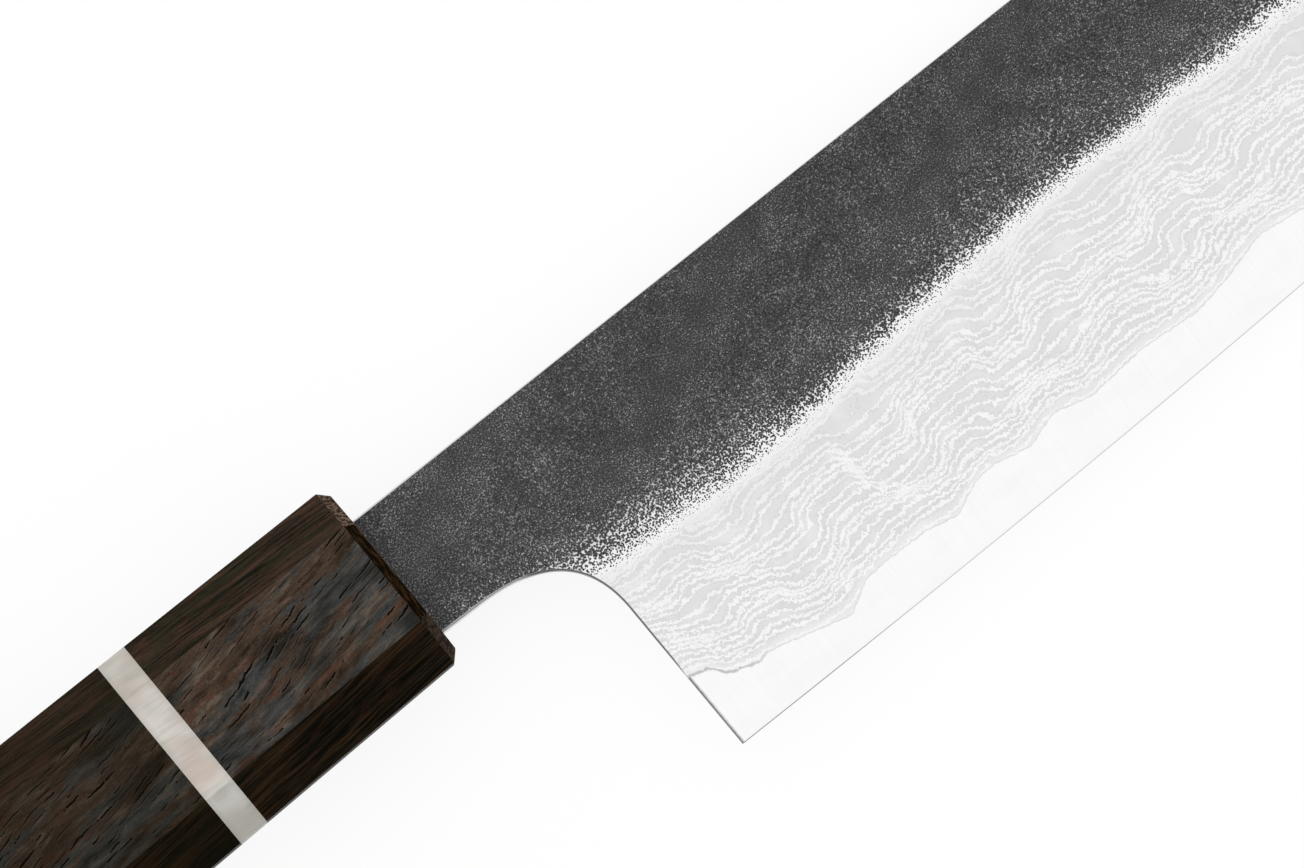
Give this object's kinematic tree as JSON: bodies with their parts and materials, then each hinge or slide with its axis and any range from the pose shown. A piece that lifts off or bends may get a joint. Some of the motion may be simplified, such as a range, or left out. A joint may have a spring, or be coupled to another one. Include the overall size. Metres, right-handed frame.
{
  "type": "nakiri knife",
  "caption": "Vegetable knife with a tall laminated blade, dark forge scale above layered steel, its tang bedded in an eight-sided dark wood handle with a pale spacer ring.",
  "frame": {"origin": "below the middle of the knife as it lies on its left side, at the level of its lowest point", "axes": "+X from the butt of the handle to the tip along the handle axis, +Y from the cutting edge towards the spine, +Z out of the right side of the blade"},
  "size_m": [0.3188, 0.0574, 0.0234],
  "materials": {
    "core_steel": "fine satin, almost white under soft light",
    "cladding_steel": "black granular forge scale above, etched layered steel below",
    "dark_wood": "dark brown wood with open pores, oiled",
    "pale_spacer": "warm off-white with faint streaks, like horn, satin",
    "dowel_wood": "plain turned hardwood",
    "tang_resin": "hard amber resin",
    "mouth_seal": "near-black sealing bead"
  },
  "bodies": {
    "root": {"core_steel": "core_steel", "right_cladding": "cladding_steel", "left_cladding": "cladding_steel", "front_block": "dark_wood", "spacer_ring": "pale_spacer", "rear_block": "dark_wood", "inner_dowel": "dowel_wood", "tang_resin": "tang_resin", "mouth_seal": "mouth_seal"}
  },
  "joints": []
}
